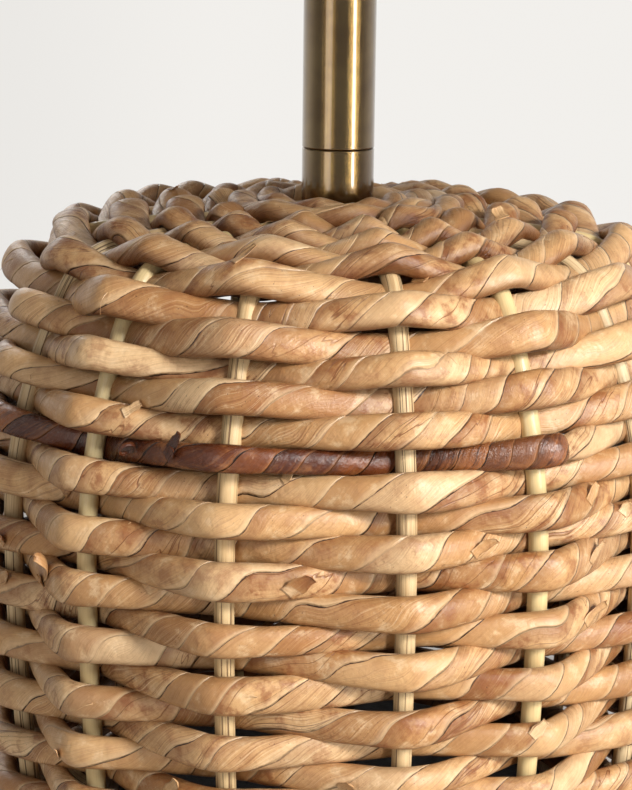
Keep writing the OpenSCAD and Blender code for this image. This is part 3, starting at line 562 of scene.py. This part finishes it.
def smoothNoise(x, spacing, seed, reach):
    # Random heights at even spacing over a reach, eased from one to the next, between -1 and 1
    table = np.random.default_rng(seed).uniform(-1, 1, int(reach / spacing) + 3)
    t = np.clip(x / spacing, 0, len(table) - 1.001)
    i = t.astype(int)
    w = t - i
    w = w * w * (3 - 2 * w)
    return table[i] * (1 - w) + table[i + 1] * w


basket = {                   # millimetres and degrees, as in the part's own source
    "stakes": 15, "stakeD": 5.5, "stakeTurn": -15.0,
    "swayAngle": 1.8, "swayStart": 48.0, "swayWaves": 5,
    "bellyR": 106.5, "bellyH": 113.0, "bowR": 150.0, "lowerBowR": 760.0, "footBendR": 17.0,
    "shoulderH": 72.0, "shoulderR": 20.0, "crownSlope": 9.0,
    "rowPitch": 8.0, "strandT": 6.0, "overSwell": 1.6, "coilW": 7.4,
    "startAngle": 21.0, "weaveGap": 0.4, "tailR": 52.0, "stakeEndR": 21.0, "tailGap": 0.1,
    "lowerRows": 8, "darkRow": 18,                # rows
    "darkLate": 9, "darkSpan": 9, "darkShort": 0.34,   # stakes
}
hubLow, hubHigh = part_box("hub_disc")
hubR = hubHigh.x / mm
hubT = (hubHigh.z - hubLow.z) / mm
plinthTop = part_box("plinth")[1].z / mm
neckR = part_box("neck_tube")[1].x / mm
tailZ = plinthTop + basket["tailGap"] + basket["stakeD"] / 2
bellyZ = (tailZ + basket["bellyH"]) * mm


def along(centre, radius, angle):
    return (centre[0] + radius * math.cos(math.radians(angle)),
            centre[1] + radius * math.sin(math.radians(angle)))


bowC = (basket["bellyR"] - basket["bowR"], tailZ + basket["bellyH"])
lowerC = (basket["bellyR"] - basket["lowerBowR"], tailZ + basket["bellyH"])
footA = math.degrees(math.asin((basket["bellyH"] - basket["footBendR"])
                               / (basket["lowerBowR"] - basket["footBendR"])))
shoulderA = math.degrees(math.asin(basket["shoulderH"] / basket["bowR"]))
crownA = 90 - basket["crownSlope"]
footC = along(lowerC, basket["lowerBowR"] - basket["footBendR"], -footA)
shoulderC = along(bowC, basket["bowR"] - basket["shoulderR"], shoulderA)
crownR = basket["shoulderR"] + (shoulderC[0] - hubR) / math.sin(math.radians(basket["crownSlope"]))
crownC = along(shoulderC, basket["shoulderR"] - crownR, crownA)
hubZ = crownC[1] + crownR
climb = [                    # centre, radius, first and last angle of each arc of the side
    (footC, basket["footBendR"], basket["startAngle"] - 90, -footA),
    (lowerC, basket["lowerBowR"], -footA, 0.0),
    (bowC, basket["bowR"], 0.0, shoulderA),
    (shoulderC, basket["shoulderR"], shoulderA, crownA),
    (crownC, crownR, crownA, 90.0),
]
climbLen = [r * math.radians(a1 - a0) for c, r, a0, a1 in climb]
climbTo = np.concatenate([[0], np.cumsum(climbLen)])


def ease(x, low, high):
    t = np.clip((x - low) / (high - low), 0, 1)
    return t * t * (3 - 2 * t)


def swayed(angle):
    # Degrees round the basket of an even place, after a hand-set stake's straying
    wave = np.radians(basket["swayWaves"] * angle + basket["swayStart"])
    return angle + basket["swayAngle"] * np.sin(wave)


def placeAt(u, arcs, lengths):
    # Radius, height and normal angle at lengths u along the arcs, then straight in over the hub
    r, z, a = np.empty_like(u), np.empty_like(u), np.empty_like(u)
    for i, (c, rad, a0, a1) in enumerate(arcs):
        m = (u >= lengths[i]) if i else np.ones_like(u, bool)
        ang = np.radians(a0) + (u - lengths[i]) / rad
        r = np.where(m, c[0] + rad * np.cos(ang), r)
        z = np.where(m, c[1] + rad * np.sin(ang), z)
        a = np.where(m, ang, a)
    m = u >= lengths[-1]
    r = np.where(m, hubR - (u - lengths[-1]), r)
    z = np.where(m, hubZ, z)
    a = np.where(m, math.pi / 2, a)
    return r, z, a


step = 360 / basket["stakes"]
perStake = basket["rowPitch"] / basket["stakes"]
weaveOff = basket["stakeD"] / 2 + basket["weaveGap"] + basket["strandT"] / 2
lift = hubT / 2 + basket["weaveGap"] + basket["strandT"] / 2
liftR = hubR + basket["weaveGap"] + (basket["rowPitch"] + basket["overSwell"]) / 2
coilEndR = neckR + basket["weaveGap"] + basket["coilW"] / 2
liftN = math.ceil((climbTo[-1] - liftR + hubR) / perStake)
coilEndN = math.floor((climbTo[-1] + hubR - coilEndR) / perStake)
trimN = liftN - 2 * basket["stakes"]
footEndN = math.ceil(climbTo[1] / perStake) + basket["stakes"]
bellyN = footEndN + basket["lowerRows"] * basket["stakes"]
darkN = basket["darkRow"] * basket["stakes"] + basket["darkLate"]
darkEndN = darkN + basket["darkSpan"]
shoulderN = math.floor(climbTo[3] / perStake)
crownN = math.ceil(climbTo[4] / perStake)


strandLook = {
    "ringStep": 1.6,         # mm between rings
    "around": 26,
    "starts": 2,             # leaves wound side by side
    "turnLength": 15.5,      # mm of strand from one lap to the next
    "lapHeight": 0.22,       # mm
    "girth": 28.0,           # mm round the strand
    "sharpness": 0.97,       # of the turns from out to in: 1 is a zigzag
    "crossWidth": 8.9,       # mm, where two rows pass each other
    "overWidth": 10.3,       # mm, in front of a stake
    "shoulderWide": 0.09,    # share wider from the shoulder up, where the rows fan out
    "widenOver": (30, 8),    # stakes before the shoulder
    "crownCalm": 0.3,        # share of the swing that is lost over the bent stakes
    "trimWidth": 10.4,       # mm, in front of a stake on the last rows before the hub
    "coilWidth": 8.6,
    "coilWave": 1.0,         # mm that the coil on the hub rises and sinks
    "coilSunk": 3.0,         # mm that it is pressed into the rows under it
    "fuller": 3.6,           # mm that the shoulder swells past the arcs of the canes
    "fullerTo": 25.0,        # mm of cane before the crown's arc, where the swell starts to fade
    "bulge": 0.5,            # mm that a strand swells outward in front of a stake
    "fatten": 1.22,          # the soft leaf fills the gaps that the plain strand leaves
    "boxOut": 0.88,          # powers of the section: 1 is an ellipse, less is a rounded box
    "boxSide": 0.92,
    "taper": 16.0,           # mm that a thin start takes to reach its full size
    "cap": 5.0,              # mm of rounding at a blunt end
    "swell": 0.12,           # share by which a blunt end is thicker
    "swellOver": (22.0, 8.0),     # mm before the end
}


def strandPlace(n):
    # Centre of the strand in cylinder form: radius, height, normal angle, turn about the axis.
    # It climbs at an even rate and swings from outside one stake to inside the next. The swing is
    # the arcsine of the cosine of the stake count n, a triangle wave with rounded corners
    look, u = strandLook, n * perStake
    r, z, a = placeAt(u, climb, climbTo)
    fading = ease(u, climbTo[4] - look["fullerTo"], climbTo[5])
    r = r + look["fuller"] * ease(u, climbTo[2], climbTo[3]) * (1 - fading)
    swing = -np.arcsin(look["sharpness"] * np.cos(np.pi * n)) / math.asin(look["sharpness"])
    up = ease(n, liftN - 1, liftN)
    swing = swing * (1 - look["crownCalm"] * ease(n, shoulderN - basket["stakes"], crownN) * (1 - up))
    woven = weaveOff * swing + look["bulge"] * np.clip(swing, 0, 1) ** 2
    coiled = lift + look["coilWave"] * swing - look["coilSunk"]
    offset = woven * (1 - up) + coiled * up
    phi = np.radians(swayed(basket["stakeTurn"] + step * n) - 90)
    return r, z, a, phi, offset, np.abs(swing) ** 0.9, up


def strandTable():
    # The whole strand at even steps of its own length, so that the twist runs on from piece to piece
    n = np.arange(-0.5, coilEndN - 0.48, 0.004)
    r, z, a, phi, offset = strandPlace(n)[:5]
    rc = r + offset * np.cos(a)
    x, y, zz = rc * np.cos(phi), rc * np.sin(phi), z + offset * np.sin(a)
    pieces = np.sqrt(np.diff(x) ** 2 + np.diff(y) ** 2 + np.diff(zz) ** 2)
    return n, np.concatenate([[0], np.cumsum(pieces)])


tableN, tableS = strandTable()
strandLength = tableS[-1]
print("strand laid out:", round(strandLength * mm, 1), "m")


def drift(s, spacing, seed):
    # Straying along the strand, with a seed of its own for each use
    return smoothNoise(s, spacing, seed, strandLength)


def wrapOf(s, v, turnLength):
    # Turns of leaf passed: whole numbers fall on the laps
    wobble = 0.9 * drift(s, 52, 18) + 0.42 * drift(s, 21, 16) + 0.14 * drift(s, 8, 17)
    bend = 0.09 * drift(s, 31, 19) * np.sin(4 * np.pi * v)
    bend = bend + 0.10 * drift(s, 37, 20) * np.cos(2 * np.pi * v)
    return strandLook["starts"] * v - s / turnLength + wobble + bend


def strandPoint(s, v, proud=0.0, size=1.0, turnLength=None):
    # Skin of the strand at a length s along it and a share v of the way round it, both arrays.
    # The section is a rounded box: it reaches out by half the thickness times a power of the
    # cosine of theta, and sideways by half the width times a power of its sine, and each turn of
    # leaf lifts it by the lap. theta = pi + 2 pi v runs from the inside of the basket
    look = strandLook
    turnLength = turnLength or look["turnLength"]
    n = np.interp(s, tableS, tableN)
    r, z, a, phi, offset, full, up = strandPlace(n)
    over = np.where(n >= trimN - 0.5, look["trimWidth"], look["overWidth"])
    width = look["crossWidth"] + (over - look["crossWidth"]) * full
    width = width * (1 - up) + look["coilWidth"] * up
    fanned = ease(n, *[shoulderN - before for before in look["widenOver"]]) * (1 - up)
    width = width * (1 + look["shoulderWide"] * fanned)
    width = width * size * (1 + 0.10 * drift(s, 41, 11) + 0.05 * drift(s, 13, 12))
    thick = basket["strandT"] * look["fatten"] * size * (1 + 0.09 * drift(s, 29, 13))
    stray = 0.6 * drift(s, 47, 14)
    lean = 0.4 * drift(s, 33, 15)
    theta = np.pi + 2 * np.pi * v
    wrap = wrapOf(s, v, turnLength)
    q = wrap - np.floor(wrap)
    lap = look["lapHeight"] * (np.sin(np.pi * q) ** 0.6 - 0.6 + 0.3 * (0.5 - q))
    lap = lap * np.minimum(size, 1.0) + proud
    cx, sy = np.cos(theta), np.sin(theta)
    out = offset + lean * (1 - up)
    out = out + thick / 2 * np.sign(cx) * np.abs(cx) ** look["boxOut"] + lap * cx
    side = stray + width / 2 * np.sign(sy) * np.abs(sy) ** look["boxSide"] + lap * sy
    ca, sa = np.cos(a), np.sin(a)
    rr = r + out * ca - side * sa
    zz = z + out * sa + side * ca
    return np.stack([rr * np.cos(phi), rr * np.sin(phi), zz], -1) * mm, wrap


def strandGrid(n0, n1, turnLength=None, girth=1.0, startSize=1.0, endSize=1.0):
    # A length of strand: its skin at even steps along and round. A size below 1 lets an end
    # taper into its neighbour or round off
    look = strandLook
    cap = look["cap"]
    s0, s1 = np.interp([n0, n1], tableN, tableS)
    s = np.linspace(s0, s1, int((s1 - s0) / look["ringStep"]) + 1)
    if endSize < 1:
        s = np.concatenate([s[s < s1 - cap], s1 - cap * np.cos(np.linspace(0, np.pi / 2, 9))])
    v = np.linspace(0, 1, look["around"] + 1)
    sAll, vAll = np.meshgrid(s, v, indexing="ij")
    size = np.full_like(s, girth)
    if startSize < 1:
        size = size * (startSize + (1 - startSize) * ease(s, s0, s0 + look["taper"]))
    if endSize < 1:
        # A blunt end: it swells, then closes on a quarter circle
        size = size * (1 + look["swell"] * ease(s, *[s1 - before for before in look["swellOver"]]))
        size = size * np.sqrt(np.clip(1 - ((s - s1 + cap) / cap).clip(0, 1) ** 2, endSize ** 2, 1))
    pts, wrap = strandPoint(sAll, vAll, 0.0, size[:, None], turnLength)
    lay = np.stack([sAll, vAll * look["girth"]], -1) * mm
    return pts[:, :-1], {"wrap": np.stack([wrap, vAll], -1), "lay": lay}


def makeStrand(mats):
    lengths = [
        ("footRows", "foot_rows", 0, footEndN, "straw", {}),
        ("lowerRows", "lower_rows", footEndN, bellyN, "straw", {}),
        ("bellyRows", "belly_rows", bellyN, darkN, "straw", {}),
        ("darkStrand", "dark_strand", darkN, darkEndN - basket["darkShort"], "dark_straw",
         {"turnLength": 9.5, "girth": 0.82, "endSize": 0.1}),
        ("upperRows", "upper_rows", darkEndN - 0.5, shoulderN, "straw", {"startSize": 0.6}),
        ("shoulderRows", "shoulder_rows", shoulderN, crownN, "straw", {}),
        ("crownRows", "crown_rows", crownN, liftN, "straw", {}),
        ("crownCoil", "crown_coil", liftN, coilEndN, "straw", {}),
    ]
    for name, node, start, end, slot, shape in lengths:
        grid = strandGrid(start - 0.5, end - 0.5, **shape)
        gridObject(name, [grid], mats[slot], "lamp_base", [node])


frayLook = {
    "thick": 0.22,           # mm
    "heading": 42.0,         # degrees off the strand, as the leaf winds
    "hairR": 0.13,           # mm
    "proud": 0.1,            # mm that a root stands off the strand
    # length of strand counted in stakes, share of the way round, mm long, mm wide,
    # degrees it lifts at its root, degrees it curls, slot
    "tabs": [
        (253.70, 0.52, 13.0, 6.5, 8.0, 70.0, "straw"),
        (208.75, 0.56, 11.0, 5.0, 14.0, 80.0, "straw"),
        (209.55, 0.58, 9.0, 4.0, 6.0, -30.0, "straw"),
        (284.42, 0.50, 14.0, 1.6, 60.0, 330.0, "dark_straw"),
        (376.20, 0.60, 9.0, 4.5, 12.0, 60.0, "straw"),
        (163.80, 0.54, 8.0, 4.0, 18.0, 90.0, "straw"),
        (225.35, 0.42, 9.0, 5.5, 5.0, 15.0, "straw"),
        (270.30, 0.60, 7.0, 3.0, 20.0, 60.0, "straw"),
        (241.40, 0.44, 8.0, 4.0, 8.0, 40.0, "straw"),
        (197.30, 0.46, 9.0, 4.5, 6.0, 35.0, "straw"),
    ],
    "scattered": 46,         # more of them, all round the basket
    "hairs": 60,
    "clearFoot": 15,         # pairs of stakes at the strand's start with nothing loose
    "tabsClear": 16,         # pairs of stakes before the hub with no torn ends
    "hairsClear": 3,         # the same for hairs
    # length counted in stakes, share of the way round, mm long, degrees of heading
    "longHairs": [
        (254.45, 0.40, 24.0, -150.0),
        (284.40, 0.62, 10.0, 40.0),
        (285.9, 0.60, 9.0, 20.0),
    ],
    "seed": 71,
}


def strandFrame(s, v, heading):
    # Point on the strand's skin and the directions along a heading, across it and outwards, in mm
    def at(ds, dv):
        spot = np.array([s + ds]), np.array([v + dv / strandLook["girth"]])
        return strandPoint(*spot, frayLook["proud"])[0][0] / mm
    root = at(0, 0)
    ca, sa = math.cos(heading), math.sin(heading)
    ahead = at(ca, sa) - root
    aside = at(-sa, ca) - root
    ahead /= np.linalg.norm(ahead)
    out = np.cross(ahead, aside)
    out /= np.linalg.norm(out)
    n = np.interp(s, tableS, tableN)
    r, z, a, phi, offset = strandPlace(np.array([n]))[:5]
    rc = (r + offset * np.cos(a))[0]
    centre = np.array([rc * math.cos(phi[0]), rc * math.sin(phi[0]), (z + offset * np.sin(a))[0]])
    if np.dot(out, root - centre) < 0:
        out = -out
    return root, ahead, np.cross(out, ahead), out


def tabGrid(n, v, length, width, rise, curl, rng):
    # A torn leaf end: it leaves the strand along the leaf's own turn and curls over. Its
    # direction turns outwards by the rise, then by the curl times a power of the share t of its
    # length. Its path is the running sum of that direction, its section a shallow parabola
    s = np.interp(n, tableN, tableS)
    root, ahead, aside, out = strandFrame(s, v, math.radians(frayLook["heading"]))
    t = np.linspace(0, 1, 18)
    bend = np.radians(rise * ease(t, 0.0, 0.3) + curl * t ** 1.6)
    aim = np.cos(bend)[:, None] * ahead + np.sin(bend)[:, None] * out
    face = np.cos(bend)[:, None] * out - np.sin(bend)[:, None] * ahead
    steps = np.cumsum((aim[1:] + aim[:-1]) / 2, 0)
    path = root + np.concatenate([[np.zeros(3)], steps]) * length / (len(t) - 1)
    half = width / 2 * (1 - 0.35 * t ** 2) * (1 + 0.12 * np.sin(9 * t + rng.uniform(0, 6)))
    u = np.linspace(-1, 1, 7)
    ragged = 0.10 * length * np.interp(u, np.linspace(-1, 1, 5), rng.uniform(-1, 0.3, 5))
    cup = 0.16 * width * (u ** 2 - 0.4)
    thick = frayLook["thick"] * (1 - 0.5 * np.abs(u))
    rows = []
    for side in (1, -1):
        across, dished, worn, skin = [row[::side][None, :, None] for row in (u, cup, ragged, thick)]
        rows.append(path[:, None] + across * half[:, None, None] * aside
                    + (dished * t[:, None, None] + side * skin / 2) * face[:, None]
                    + worn * (t ** 6)[:, None, None] * aim[:, None])
    pts = np.concatenate(rows, 1) * mm
    turn = math.floor(rng.uniform(1000, 2000))
    shareU = np.concatenate([u, u[::-1], u[:1]]) * 0.2 + 0.45
    shareU, shareT = np.meshgrid(shareU, t)
    wrap = np.stack([turn + shareU, 0.45 + 0.3 * shareT], -1)
    lay = np.stack([s + length * shareT, shareU * width], -1) * mm
    return pts, {"wrap": wrap, "lay": lay}


def hairGrid(n, v, length, heading, rng):
    # A loose fibre: a circle that shrinks along a path. The path bows outwards on a parabola of
    # the share t of its length, waves sideways with a sine of t and droops with t squared
    s = np.interp(n, tableN, tableS)
    root, ahead, aside, out = strandFrame(s, v, math.radians(heading))
    t = np.linspace(0, 1, 14)[:, None]
    wave = rng.uniform(-1, 1, 3)
    path = (root + length * (t * ahead * 0.8 + (0.5 * t - 0.35 * t ** 2 + 0.05) * out
                             + 0.12 * wave[0] * np.sin(3 * t + wave[1]) * aside)
            - np.array([0, 0, 0.18 * length]) * t ** 2)
    forward = np.gradient(path, axis=0)
    forward /= np.linalg.norm(forward, axis=1)[:, None]
    first = np.cross(forward, np.array([0.3, 0.4, 0.86]))
    first /= np.linalg.norm(first, axis=1)[:, None]
    second = np.cross(forward, first)
    turn = np.linspace(0, 2 * np.pi, 6)[None, :-1, None]
    rad = frayLook["hairR"] * (1 - 0.6 * t)[:, None]
    ring = np.cos(turn) * first[:, None] + np.sin(turn) * second[:, None]
    pts = (path[:, None] + rad * ring) * mm
    shareU, reach = np.meshgrid(np.linspace(0.4, 0.5, 6), t[:, 0] * length)
    wrap = np.stack([shareU + 3000, shareU], -1)
    return pts, {"wrap": wrap, "lay": np.stack([reach, shareU], -1) * mm}


def makeFrays(mats):
    rng = np.random.default_rng(frayLook["seed"])
    grids = {"straw": [], "dark_straw": []}
    for n, v, length, width, rise, curl, slot in frayLook["tabs"]:
        grids[slot].append(tabGrid(n, v, length, width, rise, curl, rng))
    for i in range(frayLook["scattered"]):
        # Only where the strand runs outside a stake, so that the end shows and nothing pins it
        pair = rng.integers(frayLook["clearFoot"], liftN // 2 - frayLook["tabsClear"])
        n = 2 * pair + 1 + rng.uniform(-0.4, 0.4)
        slot = "dark_straw" if darkN < n < darkEndN else "straw"
        grids[slot].append(tabGrid(n, rng.uniform(0.40, 0.60), rng.uniform(4, 8), rng.uniform(2, 4.5),
                                   rng.uniform(4, 14), rng.uniform(-10, 70), rng))
    for i in range(frayLook["hairs"]):
        pair = rng.integers(frayLook["clearFoot"], liftN // 2 - frayLook["hairsClear"])
        n = 2 * pair + 1 + rng.uniform(-0.45, 0.45)
        grids["straw"].append(hairGrid(n, rng.uniform(0.36, 0.64), rng.uniform(3, 8),
                                       rng.uniform(0, 360), rng))
    for n, v, length, heading in frayLook["longHairs"]:
        grids["straw"].append(hairGrid(n, v, length, heading, rng))
    gridObject("tornLeafEnds", grids["straw"], mats["straw"], "lamp_base")
    gridObject("tornDarkEnds", grids["dark_straw"], mats["dark_straw"], "lamp_base")


caneLook = {
    "ringStep": 2.2,         # mm between rings
    "around": 28,
    "grooves": 9,
    "grooveDepth": 0.02,     # share of the radius
    "smoothOnes": (2, 4, 7, 9, 12, 14),      # stakes with a smooth skin
}


def makeStakes(mats):
    # Each cane is a circle with grooves, which follow the square of a cosine of the turn, carried
    # along tail, foot bend, lower and upper bow, shoulder and crown
    arcs = [(footC, basket["footBendR"], -90.0, -footA)] + climb[1:]
    ends = np.concatenate([[0], np.cumsum([r * math.radians(a1 - a0) for c, r, a0, a1 in arcs])])
    tail = footC[0] - basket["tailR"]
    total = tail + ends[-1] + hubR - basket["stakeEndR"]
    s = np.linspace(0, total, int(total / caneLook["ringStep"]))
    u = s - tail
    r, z, a = placeAt(np.maximum(u, 0), arcs, ends)
    r = np.where(u < 0, basket["tailR"] + s, r)[:, None]
    z = np.where(u < 0, tailZ, z)[:, None]
    a = np.where(u < 0, -math.pi / 2, a)[:, None]
    v = np.linspace(0, 1, caneLook["around"] + 1)
    theta = 2 * np.pi * v[None]
    grids = []
    for i in range(basket["stakes"]):
        grooved = 0.0 if i in caneLook["smoothOnes"] else 1.0
        phi = math.radians(swayed(basket["stakeTurn"] + i * step) - 90)
        twist = 0.2 * smoothNoise(s, 60, 40 + i, total)[:, None]
        rad = basket["stakeD"] / 2 * (1 + 0.03 * smoothNoise(s, 30, 60 + i, total))[:, None]
        groove = np.cos(caneLook["grooves"] * (theta + twist))
        rad = rad * (1 - grooved * caneLook["grooveDepth"] * np.clip(groove, -0.2, 1) ** 2)
        out, side = rad * np.cos(theta), rad * np.sin(theta)
        rr = r + out * np.cos(a)
        zz = z + out * np.sin(a)
        px = rr * math.cos(phi) - side * math.sin(phi)
        py = rr * math.sin(phi) + side * math.cos(phi)
        pts = np.stack([px, py, zz], -1) * mm
        sAll, vAll = np.meshgrid(s / 10, v, indexing="ij")
        kind = np.stack([np.full_like(sAll, i + 0.5), np.full_like(sAll, grooved)], -1)
        grids.append((pts[:, :-1], {"lay": np.stack([sAll, vAll], -1), "kind": kind}))
    gridObject("stakeCanes", grids, mats["cane"], "lamp_base", ["stakes"])


addCamera(bellyZ)
for name, setting in light["softboxes"].items():
    addSoftbox(name, *setting)
addWorld()
addFloor()
print("camera, light and floor ready")

mats = makeMaterials()
slotOf = {row["node"]: row["material_slot"] for row in frame["record"]["subparts"]}
for node, slot in slotOf.items():
    dress(node, mats[slot])
print("materials ready")

makeStakes(mats)
makeStrand(mats)
makeFrays(mats)
print("basket dressed")

scene = bpy.context.scene
scene.view_settings.view_transform = "Standard"
